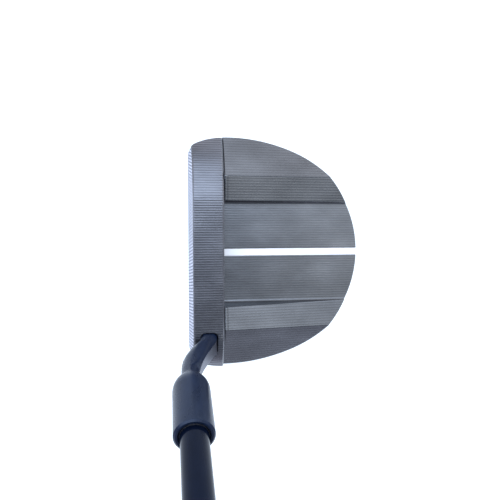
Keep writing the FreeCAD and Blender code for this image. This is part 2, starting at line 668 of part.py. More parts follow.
def make_neck_fasteners():
    """Screw from the sole into the neck's foot, and the pin that stops the foot turning."""
    screw = socket_screw("neck_screw", "neck_screw_head", "neck_screw_head_length",
                         "neck_screw_radius", "neck_screw_length", "socket_flats + 1")
    pin = tool("Cylinder", "neck_pin", Radius="neck_pin_radius", Height="neck_pin_length")
    places = ((screw, "neck_screw_x", "neck_screw_sink"),
              (pin, "neck_pin_x", "foot_floor - neck_pin_length / 2"))
    for piece, x, z in places:
        for axis, text in zip("xyz", (x, FOOT_MIDDLE, z)):
            bind(piece, "Placement.Base." + axis, text)
        pieces.append(piece)


def make_weight(label, x):
    """Steel disc in the sole, countersunk for its screw."""
    body = new_body(label)
    bind(body, "Placement.Base.x", x)
    bind(body, "Placement.Base.y", "weight_y")
    bind(body, "Placement.Base.z", "weight_sink")
    corners = [("weight_screw_head", "0"), ("weight_radius - 0.5", "0"), ("weight_radius", "0.5"),
               ("weight_radius", "weight_length"), ("weight_screw_radius", "weight_length"),
               ("weight_screw_radius", "weight_screw_cone")]
    revolved(body, corners)


def make_weight_fasteners():
    """Countersunk screws and the thin washers above the weights."""
    screws = []
    washers = []
    for number, x in enumerate(WEIGHTS, start=1):
        name = "weight_screw_%d" % number
        cone = tool("Cone", name + "_head", Radius1="weight_screw_head", Radius2="weight_screw_radius",
                    Height="weight_screw_cone")
        stem = tool("Cylinder", name + "_shank", Radius="weight_screw_radius",
                    Height="weight_screw_length")
        hexagon = tool("Prism", name + "_socket", Circumradius="socket_flats / sqrt(3)",
                       Height="socket_depth")
        hexagon.Polygon = 6
        screw = joined("Cut", name, joined("Fuse", name + "_solid", cone, stem), hexagon)
        disc = tool("Cylinder", "weight_washer_%d_disc" % number, Radius="weight_radius",
                    Height="washer_length")
        hole = tool("Cylinder", "weight_washer_%d_hole" % number, Radius="weight_screw_radius",
                    Height="washer_length")
        washer = joined("Cut", "weight_washer_%d" % number, disc, hole)
        for piece, z in ((screw, "weight_sink"), (washer, "weight_sink + weight_length")):
            for axis, text in zip("xyz", (x, "weight_y", z)):
                bind(piece, "Placement.Base." + axis, text)
        screws.append(screw)
        washers.append(washer)
    group("weight_screws", screws)
    group("weight_washers", washers)


make_front_bar()
make_face_insert()
make_insert_bond()
make_rear_body()
make_sight_line()
make_neck()
make_neck_fasteners()
make_body_screws()
make_body_dowels()
make_weight("toe_weight", "-weight_x")
make_weight("heel_weight", "weight_x")
make_weight_fasteners()
make_shaft()
make_shaft_bond()
make_grip_tape()
make_grip()
make_grip_cap()
doc.recompute()

for item in doc.Objects:
    if "Invalid" in item.State or "Error" in item.State:
        raise RuntimeError("%s failed: %s" % (item.Label, item.State))
os.makedirs("parts", exist_ok=True)
for piece in pieces:
    if piece.Shape.isNull() or not piece.Shape.isValid():
        raise RuntimeError("%s has no valid shape" % piece.Label)
    piece.Shape.exportStep(os.path.join("parts", piece.Label + ".step"))
    print("%-16s %2d solids %10.1f mm3" % (piece.Label, len(piece.Shape.Solids), piece.Shape.Volume))
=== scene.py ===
import math

import bmesh
import bpy
import numpy as np
from mathutils import Matrix, Vector


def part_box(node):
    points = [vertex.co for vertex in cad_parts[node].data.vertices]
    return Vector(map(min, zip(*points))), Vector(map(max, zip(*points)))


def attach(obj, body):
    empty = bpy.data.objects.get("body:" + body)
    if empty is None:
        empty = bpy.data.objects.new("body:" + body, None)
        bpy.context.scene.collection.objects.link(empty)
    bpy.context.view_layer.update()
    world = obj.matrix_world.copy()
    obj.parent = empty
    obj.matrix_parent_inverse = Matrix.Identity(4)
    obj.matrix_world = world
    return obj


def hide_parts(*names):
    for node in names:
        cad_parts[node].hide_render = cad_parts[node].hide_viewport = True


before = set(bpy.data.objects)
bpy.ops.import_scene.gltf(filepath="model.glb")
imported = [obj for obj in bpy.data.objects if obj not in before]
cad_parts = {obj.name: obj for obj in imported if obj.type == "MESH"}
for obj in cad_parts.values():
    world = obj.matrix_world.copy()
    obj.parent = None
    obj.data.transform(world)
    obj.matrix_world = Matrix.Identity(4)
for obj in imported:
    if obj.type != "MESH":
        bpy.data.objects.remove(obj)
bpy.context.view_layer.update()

# Mallet putter, right-handed, in metres.  +X points to the heel and the shaft, -Y to the side that
# meets the ball, +Z up.  Lengths below are in millimetres where their name or comment says so.

MM = 0.001

# ---------------------------------------------------------------------------------------------
# Materials
# ---------------------------------------------------------------------------------------------


class Nodes:
    """Steps that add nodes to a node tree and link them."""

    def __init__(self, tree):
        self.nodes = tree.nodes
        self.links = tree.links

    @staticmethod
    def set(node, socket, number):
        node.inputs[socket].default_value = number

    def spread(self, source, low, high, start, end):
        """A number from low to high as the source goes from start to end."""
        node = self.nodes.new("ShaderNodeMapRange")
        for socket, number in zip(("From Min", "From Max", "To Min", "To Max"),
                                  (start, end, low, high)):
            self.set(node, socket, number)
        self.links.new(source, node.inputs["Value"])
        return node.outputs["Result"]

    def math(self, operation, first, second=0.0):
        node = self.nodes.new("ShaderNodeMath")
        node.operation = operation
        for index, value in enumerate((first, second)):
            if isinstance(value, (int, float)):
                node.inputs[index].default_value = value
            else:
                self.links.new(value, node.inputs[index])
        return node.outputs[0]

    def mix(self, share, first, second, blend="MIX"):
        """Mix of two colours by a share.  The colours are its inputs 6 and 7, and its output 2."""
        node = self.nodes.new("ShaderNodeMix")
        node.data_type = "RGBA"
        node.blend_type = blend
        for index, value in ((0, share), (6, first), (7, second)):
            if isinstance(value, (int, float)):
                node.inputs[index].default_value = value
            elif isinstance(value, tuple):
                node.inputs[index].default_value = (*value, 1)
            else:
                self.links.new(value, node.inputs[index])
        return node.outputs[2]


NOISE_LOW, NOISE_HIGH = 0.30, 0.70  # the noise texture mostly stays between these


class Shader(Nodes):
    """A Principled material that grows from small steps."""

    def __init__(self, name, colour, metallic, roughness, **sockets):
        self.material = bpy.data.materials.new(name)
        self.material.use_nodes = True
        super().__init__(self.material.node_tree)
        self.main = self.nodes["Principled BSDF"]
        self.set(self.main, "Base Color", (*colour, 1))
        self.set(self.main, "Metallic", metallic)
        self.set(self.main, "Roughness", roughness)
        for socket, number in sockets.items():
            self.set(self.main, socket.replace("_", " "), number)
        self.place = self.nodes.new("ShaderNodeTexCoord").outputs["Object"]
        self.height = None

    def mapped(self, scale):
        """Object coordinates in millimetres, times a scale for each axis."""
        node = self.nodes.new("ShaderNodeMapping")
        self.set(node, "Scale", [1000 * s for s in scale])
        self.links.new(self.place, node.inputs["Vector"])
        return node.outputs["Vector"]

    def noise(self, scale, detail):
        """Noise with so many cells per millimetre along each axis."""
        node = self.nodes.new("ShaderNodeTexNoise")
        self.set(node, "Scale", 1.0)
        self.set(node, "Detail", detail)
        self.links.new(self.mapped(scale), node.inputs["Vector"])
        return node.outputs["Fac"]

    def ramp(self, source, *stops):
        """A colour ramp over (position, colour) stops."""
        node = self.nodes.new("ShaderNodeValToRGB")
        elements = node.color_ramp.elements
        while len(elements) < len(stops):
            elements.new(0.5)
        for element, (position, colour) in zip(elements, stops):
            element.position = position
            element.color = (*colour, 1)
        self.links.new(source, node.inputs["Fac"])
        return node.outputs["Color"]

    def axis(self, name):
        """One object coordinate in millimetres."""
        node = self.nodes.new("ShaderNodeSeparateXYZ")
        self.links.new(self.mapped((1, 1, 1)), node.inputs[0])
        return node.outputs[name]

    def colour(self, source):
        self.links.new(source, self.main.inputs["Base Color"])

    def colour_by(self, noise, dark, light):
        """Base colour between two colours, by a noise."""
        self.colour(self.ramp(noise, (NOISE_LOW, dark), (NOISE_HIGH, light)))

    def roughness_by(self, noise, low, high):
        """Roughness between two numbers, by a noise."""
        source = self.spread(noise, low, high, NOISE_LOW, NOISE_HIGH)
        self.links.new(source, self.main.inputs["Roughness"])

    def bump(self, source, millimetres):
        """Add one layer of relief."""
        node = self.nodes.new("ShaderNodeBump")
        self.set(node, "Distance", millimetres * MM)
        self.set(node, "Strength", 1.0)
        self.links.new(source, node.inputs["Height"])
        if self.height is not None:
            self.links.new(self.height, node.inputs["Normal"])
        self.height = node.outputs["Normal"]
        self.links.new(self.height, self.main.inputs["Normal"])


def toned(colour, times):
    """The colour made darker or lighter."""
    return tuple(times * c for c in colour)


def anodised(name, colour, roughness, along=(9.0, 0.12, 9.0), pitch=0.0, crest_shade_tone=0.70,
             lean=0.0):
    """Grey anodised aluminium: fine feed marks along Y, faint blotches, grain of the oxide.

    With a pitch in millimetres, the crests between the cutter's passes are painted darker by the
    given share: painted shade in place of the light and dark lines that the passes' slopes make.
    The passes run along Y, or lean towards X by lean.
    """
    shader = Shader(name, colour, 0.96, roughness)
    feed = shader.noise(along, 4.0)
    cloud = shader.noise((0.09, 0.05, 0.09), 3.0)
    grain = shader.noise((11.0, 11.0, 11.0), 2.0)
    tone = shader.ramp(cloud, (0.30, toned(colour, 0.80)), (0.55, colour),
                       (0.75, toned(colour, 1.22)))
    streak = shader.spread(feed, 0.93, 1.0, NOISE_LOW, NOISE_HIGH)
    if pitch:
        across = shader.axis("X")
        if lean:
            aslant = shader.math("MULTIPLY", shader.axis("Y"), lean)
            across = shader.math("ADD", across, aslant)
        passes = shader.math("DIVIDE", across, pitch)
        crest = shader.math("PINGPONG", passes, 0.5)
        # Painted shade: the crests are darkened to stand in for the light and dark lines of the
        # passes.
        painted_crest_shade = shader.spread(crest, crest_shade_tone, 1.0, 0.04, 0.20)
        streak = shader.math("MULTIPLY", streak, painted_crest_shade)
    shader.colour(shader.mix(1.0, tone, streak, "MULTIPLY"))
    shader.roughness_by(feed, roughness - 0.05, roughness + 0.09)
    shader.bump(feed, 0.0015)
    shader.bump(grain, 0.0012)
    return shader.material


def satin_black(name, colour, roughness, grain_mm, sheen):
    """Dark coating over steel: a broad sheen, uneven by a hair, with a fine orange peel."""
    shader = Shader(name, colour, 0.0, roughness, Specular_IOR_Level=sheen,
                    Specular_Tint=(0.70, 0.80, 1.0, 1.0))
    cloud = shader.noise((0.22, 0.22, 0.10), 3.0)
    grain = shader.noise((6.0, 6.0, 6.0), 2.0)
    shader.colour_by(cloud, toned(colour, 0.8), toned(colour, 1.25))
    shader.roughness_by(cloud, roughness - 0.04, roughness + 0.05)
    shader.bump(grain, grain_mm)
    return shader.material


RING_PITCH = 0.32                 # distance between the rings left by turning, mm


def turned(name, colour, roughness, centre_x, centre_y):
    """Turned steel: rings round a vertical axis."""
    shader = Shader(name, colour, 1.0, roughness)
    x = shader.math("SUBTRACT", shader.axis("X"), centre_x)
    y = shader.math("SUBTRACT", shader.axis("Y"), centre_y)
    far = shader.math("SQRT", shader.math("ADD", shader.math("MULTIPLY", x, x),
                                          shader.math("MULTIPLY", y, y)))
    rings = shader.math("SINE", shader.math("MULTIPLY", far, 2 * math.pi / RING_PITCH))
    grain = shader.noise((2.0, 2.0, 2.0), 4.0)
    shader.colour_by(grain, toned(colour, 0.85), colour)
    shader.roughness_by(grain, roughness - 0.06, roughness + 0.08)
    shader.bump(rings, 0.012)
    return shader.material


def plain_steel(name, colour, roughness):
    """Plain bright steel of the fasteners."""
    shader = Shader(name, colour, 1.0, roughness)
    grain = shader.noise((3.0, 3.0, 3.0), 4.0)
    shader.colour_by(grain, toned(colour, 0.8), colour)
    shader.roughness_by(grain, roughness - 0.06, roughness + 0.1)
    shader.bump(grain, 0.01)
    return shader.material


def face_metal(name, colour):
    """Blasted plate of the face; its dark copy in the grooves is painted shade."""
    shader = Shader(name, colour, 0.45, 0.52)
    grain = shader.noise((7.0, 7.0, 7.0), 3.0)
    cloud = shader.noise((0.1, 0.1, 0.1), 2.0)
    shader.colour_by(cloud, toned(colour, 0.93), toned(colour, 1.05))
    shader.roughness_by(grain, 0.46, 0.58)
    shader.bump(grain, 0.002)
    return shader.material


def rubber(name, colour, roughness, grain_mm):
    """Moulded rubber with a fine skin."""
    shader = Shader(name, colour, 0.0, roughness, Specular_IOR_Level=0.35)
    skin = shader.noise((5.0, 5.0, 5.0), 4.0)
    cloud = shader.noise((0.06, 0.06, 0.02), 3.0)
    shader.colour_by(cloud, toned(colour, 0.75), toned(colour, 1.35))
    shader.roughness_by(skin, roughness - 0.08, roughness + 0.08)
    shader.bump(skin, grain_mm)
    return shader.material


def fill(name, colour, roughness):
    """Cured paint, resin, tape or nylon."""
    shader = Shader(name, colour, 0.0, roughness, IOR=1.5)
    wave = shader.noise((0.5, 0.12, 0.5), 2.0)
    grain = shader.noise((8.0, 8.0, 8.0), 2.0)
    shader.colour_by(wave, toned(colour, 0.93), colour)
    shader.roughness_by(grain, roughness - 0.05, roughness + 0.08)
    shader.bump(grain, 0.006)
    return shader.material


BAR_PITCH = 1.03                  # distance between the cutter's passes, mm
DECK_PITCH = 1.08
WING_PITCH = 1.15
GREY = (0.170, 0.178, 0.190)
BAR_GREY = (0.170, 0.173, 0.190)
BODY = anodised("anodised_body", GREY, 0.28)
# The milled finishes (deck, wing, bar top, facet) carry painted shade on the crests between their
# cutter's passes.
DECK_TOP = anodised("anodised_deck", GREY, 0.26, pitch=DECK_PITCH)
WING_TOP = anodised("anodised_wing", GREY, 0.26, pitch=WING_PITCH)
BAR = anodised("anodised_bar", BAR_GREY, 0.26)
BAR_TOP = anodised("anodised_bar_top", BAR_GREY, 0.24, pitch=BAR_PITCH, crest_shade_tone=0.50)
NECK = satin_black("neck_coating", (0.006, 0.011, 0.027), 0.28, 0.005, 0.26)
FACET = anodised("milled_facet", (0.21, 0.22, 0.27), 0.34, (5.0, 0.08, 0.08), pitch=0.9,
                 crest_shade_tone=0.15, lean=0.71)
SHAFT = satin_black("shaft_coating", (0.002, 0.004, 0.012), 0.12, 0.0015, 0.10)
FACE = face_metal("face_land", (0.74, 0.76, 0.86))
# Dark copy of the face's metal for the groove bottoms: painted shade in the grooves.
GROOVE_SHADE = face_metal("face_groove_painted_shade", (0.11, 0.12, 0.18))
LINE = fill("white_fill", (0.93, 0.94, 0.95), 0.40)
EPOXY = fill("cured_epoxy", (0.012, 0.013, 0.018), 0.35)
TAPE = fill("grip_tape", (0.55, 0.50, 0.38), 0.70)
NYLON = fill("nylon", (0.62, 0.60, 0.55), 0.50)
GRIP = rubber("grip_rubber", (0.018, 0.018, 0.020), 0.62, 0.03)
CAP = rubber("cap_rubber", (0.022, 0.022, 0.024), 0.48, 0.015)
STEEL = plain_steel("fastener_steel", (0.45, 0.45, 0.46), 0.32)

# ---------------------------------------------------------------------------------------------
# Mesh helpers
# ---------------------------------------------------------------------------------------------


def cad_mesh(node):
    """The CAD node's surface with its flat faces whole again."""
    bm = bmesh.new()
    bm.from_mesh(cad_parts[node].data)
    bmesh.ops.remove_doubles(bm, verts=bm.verts, dist=1e-7)
    bmesh.ops.dissolve_limit(bm, angle_limit=math.radians(0.4), verts=bm.verts, edges=bm.edges)
    return bm


def is_sharp(edge, degrees):
    return edge.is_manifold and edge.calc_face_angle(0) > math.radians(degrees)


def bevel(bm, edges, width_mm, segments):
    bmesh.ops.bevel(bm, geom=edges, offset=width_mm * MM, offset_type="OFFSET",
                    segments=segments, profile=0.5, affect="EDGES", clamp_overlap=False)


def soften(bm, width_mm):
    """Round the sharp edges by a hair.  Edges under 0.01 mm are left alone."""
    bevel(bm, [e for e in bm.edges if is_sharp(e, 32) and e.calc_length() > 0.01 * MM], width_mm, 2)


def cut_faces(bm, faces, places, axis):
    """Cut the faces by parallel planes, half of the planes at a time."""
    if not places or not faces:
        return faces
    middle = places[len(places) // 2]
    normal = Vector(axis).normalized()
    geom = set(faces)
    for face in faces:
        geom.update(face.edges)
        geom.update(face.verts)
    result = bmesh.ops.bisect_plane(bm, geom=list(geom), dist=1e-8,
                                    plane_co=normal * middle, plane_no=normal)
    cut = [g for g in result["geom"] if isinstance(g, bmesh.types.BMFace)]
    below = [f for f in cut if f.calc_center_median().dot(normal) < middle]
    above = [f for f in cut if f.calc_center_median().dot(normal) >= middle]
    half = len(places) // 2
    return (cut_faces(bm, below, places[:half], axis)
            + cut_faces(bm, above, places[half + 1:], axis))


def piece(name, bm, materials, nodes, sharp_deg=35):
    """Make the mesh a piece that rides on the club and stands for its CAD nodes."""
    bmesh.ops.recalc_face_normals(bm, faces=bm.faces)
    bm.edges.index_update()
    borders = [e.index for e in bm.edges if len({f.material_index for f in e.link_faces}) > 1]
    mesh = bpy.data.meshes.new(name)
    bm.to_mesh(mesh)
    bm.free()
    for material in materials:
        mesh.materials.append(material)
    mesh.shade_smooth()
    mesh.set_sharp_from_angle(angle=math.radians(sharp_deg))
    for index in borders:
        mesh.edges[index].use_edge_sharp = True
    made = bpy.data.objects.new(name, mesh)
    bpy.context.scene.collection.objects.link(made)
    weighted = made.modifiers.new("weighted", "WEIGHTED_NORMAL")
    weighted.keep_sharp = True
    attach(made, "root")
    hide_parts(*nodes)


def smoothstep(value, low, high):
    """0 up to low, 1 from high on, and an easy rise between."""
    share = min(1.0, max(0.0, (value - low) / (high - low)))
    return share * share * (3 - 2 * share)


def ring_mesh(rings, looped, material_of=None):
    """A skin over rings that all have the same number of points.

    A looped skin goes on from its last ring to its first, and any other is closed by its end rings.
    """
    bm = bmesh.new()
    rows = [[bm.verts.new(point) for point in ring] for ring in rings]
    count = len(rows[0])
    following = rows[1:] + rows[:1] if looped else rows[1:]
    for number, (low, high) in enumerate(zip(rows, following)):
        for i in range(count):
            j = (i + 1) % count
            face = bm.faces.new((low[i], low[j], high[j], high[i]))
            if material_of:
                face.material_index = material_of(number, i)
    if not looped:
        bm.faces.new(list(reversed(rows[0])))
        bm.faces.new(rows[-1])
    return bm


def circle(radius, height, count):
    """Points of a circle round Z, in metres from a radius and a height in millimetres."""
    turns = [2 * math.pi * k / count for k in range(count)]
    return [Vector((radius * MM * math.cos(a), radius * MM * math.sin(a), height * MM))
            for a in turns]


# ---------------------------------------------------------------------------------------------
# Head
# ---------------------------------------------------------------------------------------------

BAR_LOW, BAR_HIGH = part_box("front_bar")
SEAM = BAR_HIGH.y                 # joint between the bar and the rear body
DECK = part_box("sight_line")[1].z  # floor of the channel
WALL = 22.2 * MM                  # where the channel's walls stand
CUTS_PER_PITCH = 6
BAR_DEPTH = 0.028                 # depth of the cutter's passes, mm
DECK_DEPTH = 0.012
WING_DEPTH = 0.022
FRONT_BEVEL = 0.6                 # along the top front edges of the bar and of the wings, mm


def scallop(x, pitch):
    """0 on a cusp between two passes of the ball cutter and 1 in the middle of a pass."""
    return 1 - (2 * ((x / pitch) % 1.0) - 1) ** 2


def mill(bm, chosen, pitch_mm, depth_mm, finish, fade=None):
    """Cut scallops along Y into the chosen faces, which get the material number finish."""
    pitch = pitch_mm * MM
    faces = [f for f in bm.faces if chosen(f)]
    xs = [v.co.x for f in faces for v in f.verts]
    step = pitch / CUTS_PER_PITCH
    places = [k * step for k in range(math.ceil(min(xs) / step), math.floor(max(xs) / step) + 1)]
    faces = cut_faces(bm, faces, places, (1, 0, 0))
    verts = {v for f in faces for v in f.verts}
    for v in verts:
        share = fade(v.co) if fade else 1.0
        v.co.z -= depth_mm * MM * share * scallop(v.co.x, pitch)
    for f in faces:
        f.material_index = finish


def make_bar():
    bm = cad_mesh("front_bar")
    # The top front edge: near the front, high up, between the front side and the top.
    lead = [e for e in bm.edges if is_sharp(e, 50)
            and all(v.co.y < BAR_LOW.y + 3 * MM and v.co.z > 15 * MM for v in e.verts)
            and min(f.normal.y for f in e.link_faces) < -0.9
            and max(f.normal.z for f in e.link_faces) > 0.7]
    bevel(bm, lead, FRONT_BEVEL, 1)
    soften(bm, 0.12)
    top = BAR_LOW.z + 12 * MM               # below the bar's fallen ends

    def on_top(face):
        middle = face.calc_center_median()
        return face.normal.z > 0.55 and middle.z > top and SEAM - middle.y > 0.35 * MM

    mill(bm, on_top, BAR_PITCH, BAR_DEPTH, 1)
    piece("front_bar_milled", bm, [BAR, BAR_TOP], ["front_bar"])


def make_body():
    bm = cad_mesh("rear_body")
    # The wings' long edges on the seam.
    front = [e for e in bm.edges
             if all(abs(v.co.y - SEAM) < 1e-6 and v.co.z > 13 * MM and abs(v.co.x) > WALL
                    for v in e.verts) and abs(e.verts[0].co.x - e.verts[1].co.x) > 2 * MM]
    bevel(bm, front, FRONT_BEVEL, 1)
    soften(bm, 0.14)

    def upward(face):
        return face.normal.z > 0.6 and face.calc_center_median().z > 9 * MM

    def on_deck(face):
        middle = face.calc_center_median()
        return upward(face) and abs(middle.x) < WALL and middle.z < DECK + 0.4 * MM

    def on_wing(face):
        middle = face.calc_center_median()
        return upward(face) and abs(middle.x) > WALL and middle.z > DECK - 8 * MM

    def deck_fade(place):
        """The passes rise out of a smooth run-in at the seam, and stop at the channel's rounds."""
        return (smoothstep(place.y - SEAM, 0.8 * MM, 3.6 * MM)
                * (1 - smoothstep(abs(place.x), 20.9 * MM, 21.1 * MM)))

    def wing_fade(place):
        return smoothstep(place.y - SEAM, 0.7 * MM, 1.0 * MM)

    run_in = [SEAM + k * MM for k in (1.0, 1.9, 2.8, 3.7)]
    cut_faces(bm, [f for f in bm.faces if on_deck(f)], run_in, (0, 1, 0))
    mill(bm, on_deck, DECK_PITCH, DECK_DEPTH, 1, deck_fade)
    cut_faces(bm, [f for f in bm.faces if on_wing(f)], [SEAM + 1.0 * MM], (0, 1, 0))
    mill(bm, on_wing, WING_PITCH, WING_DEPTH, 2, wing_fade)
    piece("rear_body_milled", bm, [BODY, DECK_TOP, WING_TOP], ["rear_body"])


LINE_DROP = 0.02                  # how far the filled line lies under the channel's floor, mm
LINE_PARTS = 40                   # its top is cut into this many faces


def make_line():
    bm = cad_mesh("sight_line")
    low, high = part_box("sight_line")
    for v in bm.verts:
        if v.co.z > high.z - 0.01 * MM:
            v.co.z -= LINE_DROP * MM
    soften(bm, 0.08)
    top = [f for f in bm.faces if f.normal.z > 0.9]
    places = [low.y + k * (high.y - low.y) / LINE_PARTS for k in range(1, LINE_PARTS)]
    cut_faces(bm, top, places, (0, 1, 0))
    piece("sight_line_fill", bm, [LINE], ["sight_line"])


def make_face():
    """Plate whose front is cut by two steep crossing families of grooves."""
    bm = cad_mesh("face_insert")
    low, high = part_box("face_insert")
    loft = math.radians(3)
    outward = Vector((0, -math.cos(loft), math.sin(loft)))
    front = [f for f in bm.faces if f.normal.dot(outward) > 0.99]
    wide, tall = 1.37 * MM, 10.0 * MM       # between the grooves of a family, along X and along Z
    half_groove, depth = 0.33 * MM, 0.16 * MM
    up, across = 0.42 * MM, wide / 8        # steps of the mesh
    front = cut_faces(bm, front, [low.z + k * up for k in range(1, int((high.z - low.z) / up))],
                      (0, 0, 1))
    count = int(high.x / across)
    front = cut_faces(bm, front, [k * across for k in range(-count, count + 1)], (1, 0, 0))

    def groove(co):
        """1 at the bottom of a groove and 0 on the land between grooves."""
        deepest = 0.0
        for side in (1, -1):
            off = co.x / wide + side * co.z / tall
            deepest = max(deepest, 1 - abs(off - round(off)) * wide / half_groove)
        return deepest

    for v in {v for f in front for v in f.verts}:
        v.co -= outward * depth * groove(v.co)
    for f in front:
        # Faces deep in the grooves take the dark copy: painted shade in the grooves.
        f.material_index = 1 if groove(f.calc_center_median()) > 0.25 else 0
    piece("face_insert_milled", bm, [FACE, GROOVE_SHADE], ["face_insert"])


make_bar()
make_body()
make_line()
make_face()

# ---------------------------------------------------------------------------------------------
# Neck and sleeve
# ---------------------------------------------------------------------------------------------

RIM = Vector((54.9, -37.8, 81.25))  # middle of the sleeve's rim, mm
LIE = math.radians(70)
AXIS = Vector((math.cos(LIE), 0, math.sin(LIE)))
ALONG_SHAFT = Matrix.Translation(RIM * MM) @ Matrix.Rotation(math.pi / 2 - LIE, 4, "Y")

# Level sections of the neck in millimetres: height, toe side, heel side, front, rear, and the
# rounds of the corners front-toe, front-heel, rear-heel, rear-toe.  They are rounded and adjusted
# from outline points that were seen through the fitted camera, each at a height that was assumed.
NECK_LEVELS = [
    (12.0, 33.9, 43.0, -32.0, -25.2, 1.8, 1.8, 0.4, 1.8),
    (23.6, 33.9, 43.0, -32.0, -25.2, 1.8, 1.8, 0.4, 1.9),
    (25.2, 34.1, 43.0, -32.3, -25.5, 2.4, 2.2, 0.4, 2.6),
    (28.0, 34.7, 43.1, -33.2, -26.6, 3.1, 2.8, 0.4, 2.8),
    (31.0, 35.4, 43.2, -35.2, -27.7, 3.4, 3.2, 0.4, 2.6),
    (34.0, 36.2, 43.4, -37.2, -28.8, 3.6, 3.4, 0.4, 2.2),
    (37.0, 37.0, 43.7, -38.7, -29.9, 3.7, 3.5, 0.4, 1.8),
    (40.0, 37.8, 44.0, -39.9, -31.0, 3.7, 3.4, 0.4, 1.5),
    (43.0, 38.6, 44.6, -40.5, -32.1, 3.6, 3.3, 0.5, 1.5),
    (46.0, 39.4, 45.5, -40.9, -33.2, 3.4, 3.3, 0.8, 1.9),
    (49.0, 40.1, 46.7, -41.1, -34.2, 3.3, 3.3, 2.2, 3.3),
]
CORNER_POINTS = 10
SIDE_POINTS = 6
LEVEL_STEPS = 5                   # levels made from each given one
FACET_CUT = 22                    # how far the flat facet cuts into the rear-toe corner, degrees
FACET_FROM = 24.0                 # height where that cut begins, mm
FACET_FINISH_FROM = 22.0          # and its finish, out of sight in the bar's pocket

TIP_RADIUS = 4.8                  # of the shaft's tip, mm
BORE_RADIUS = 4.9                 # of the sleeve's bore, which the tip fills to its end
BORE_DEPTH = 24.0
# Sleeve rings, square to the shaft, in millimetres: distance below the rim and radius.
SLEEVE = [(31.8, 3.3), (31.0, 3.55), (29.5, 4.45), (28.0, 5.35), (26.8, 5.98), (25.6, 6.42),
          (24.4, 6.70), (23.2, 6.86), (21.8, 6.90), (17.0, 6.90), (12.0, 6.92), (7.0, 6.95),
          (3.0, 6.98), (0.75, 7.0), (0.62, 6.97), (0.08, 6.43), (0.0, 6.30), (0.0, 5.75),
          (0.06, 5.60), (1.2, 4.98), (1.3, BORE_RADIUS), (BORE_DEPTH, BORE_RADIUS)]
EVEN_AFTER = 6                    # sleeve rings over which the points become evenly spaced


def level_outline(level):
    """Points round one level section, anticlockwise from the front-toe corner."""
    z, toe, heel, front, rear, *rounds = level
    # Each corner's place, the way in from it along X and Y, and where its arc starts in degrees.
    corners = [(toe, front, 1, 1, 180), (heel, front, -1, 1, 270),
               (heel, rear, -1, -1, 0), (toe, rear, 1, -1, 90)]
    arcs = []
    for (x, y, sx, sy, start), radius in zip(corners, rounds):
        rear_toe = start == 90
        cut = FACET_CUT if rear_toe and z > FACET_FROM else 0
        wide = radius / (1 - math.sin(math.radians(cut)))
        deep = radius / math.cos(math.radians(cut))
        turns = [math.radians(start + cut + (90 - cut) * k / CORNER_POINTS)
                 for k in range(CORNER_POINTS + 1)]
        arcs.append([Vector((x + sx * wide + wide * math.cos(a),
                             y + sy * radius + deep * math.sin(a), z)) for a in turns])
    points = []
    for arc, following in zip(arcs, arcs[1:] + arcs[:1]):
        points += arc
        points += [arc[-1].lerp(following[0], k / SIDE_POINTS) for k in range(1, SIDE_POINTS)]
    return points


def smooth_levels(levels, steps):
    """More levels between the given ones, on a smooth curve through them."""
    table = np.array(levels)
    rows = []
    for i in range(len(table) - 1):
        before = table[max(i - 1, 0)]
        after = table[min(i + 2, len(table) - 1)]
        p, q = table[i], table[i + 1]
        gap = q[0] - p[0]
        slope_p = (q - before) / max(q[0] - before[0], 1e-9)
        slope_q = (after - p) / max(after[0] - p[0], 1e-9)
        for k in range(steps):
            t = k / steps
            a, b = 2 * t ** 3 - 3 * t ** 2 + 1, t ** 3 - 2 * t ** 2 + t
            c, d = 3 * t ** 2 - 2 * t ** 3, t ** 3 - t ** 2
            rows.append(a * p + b * gap * slope_p + c * q + d * gap * slope_q)
    rows.append(table[-1])
    return rows


def make_neck():
    """Foot, S-bend with its flat milled rear facet, cone, round and bored sleeve, in one skin."""
    count = 4 * (CORNER_POINTS + SIDE_POINTS)
    rings = [level_outline(level) for level in smooth_levels(NECK_LEVELS, LEVEL_STEPS)]
    levels = len(rings)
    across = Vector((math.sin(LIE), 0, -math.cos(LIE)))
    start = rings[-1]
    centre = sum(start, Vector()) / count
    angles = []
    for point in start:
        offset = point - centre
        angles.append(math.atan2(offset.y, offset.dot(across)))
    even = [angles[0] + 2 * math.pi * k / count for k in range(count)]
    angles = [math.atan2(math.sin(a), math.cos(a)) for a in angles]
    for number, (down, radius) in enumerate(SLEEVE):
        share = min(1.0, number / EVEN_AFTER)
        ring = []
        for k in range(count):
            turn = (even[k] - angles[k] + math.pi) % (2 * math.pi) - math.pi
            a = angles[k] + share * turn
            ring.append(RIM - AXIS * down
                        + (across * math.cos(a) + Vector((0, 1, 0)) * math.sin(a)) * radius)
        rings.append(ring)
    rear_start = 2 * (CORNER_POINTS + SIDE_POINTS) + CORNER_POINTS
    rear = range(rear_start, rear_start + SIDE_POINTS)

    def finish_of(number, index):
        high_enough = rings[number][0].z > FACET_FINISH_FROM * MM
        return 1 if index in rear and number < levels - 1 and high_enough else 0

    rings = [[point * MM for point in ring] for ring in rings]
    bm = ring_mesh(rings, False, finish_of)
    # A level's side may shrink to nothing between two corners, and leave its points in one place.
    bmesh.ops.remove_doubles(bm, verts=bm.verts, dist=0.015 * MM)
    piece("neck_body", bm, [NECK, FACET], ["neck"], sharp_deg=28)


# Shaft and grip, in millimetres along the shaft from the sleeve's rim.
CLUB_TOP = 774.0                  # end of the shaft and of the grip's rubber
BUTT_RADIUS = 7.6
SHAFT_WALL = 0.5
SHAFT_STEPS = 9
FIRST_STEP = 190.0
STEP_SPACING = 34.0
STEP_LENGTH = 3                   # one step widens over this length
TURNED_POINTS = 96


def lathe(profile):
    """Turn a closed profile of (radius, height) in millimetres round the shaft's axis."""
    bm = ring_mesh([circle(*corner, TURNED_POINTS) for corner in profile], True)
    bm.transform(ALONG_SHAFT)
    return bm


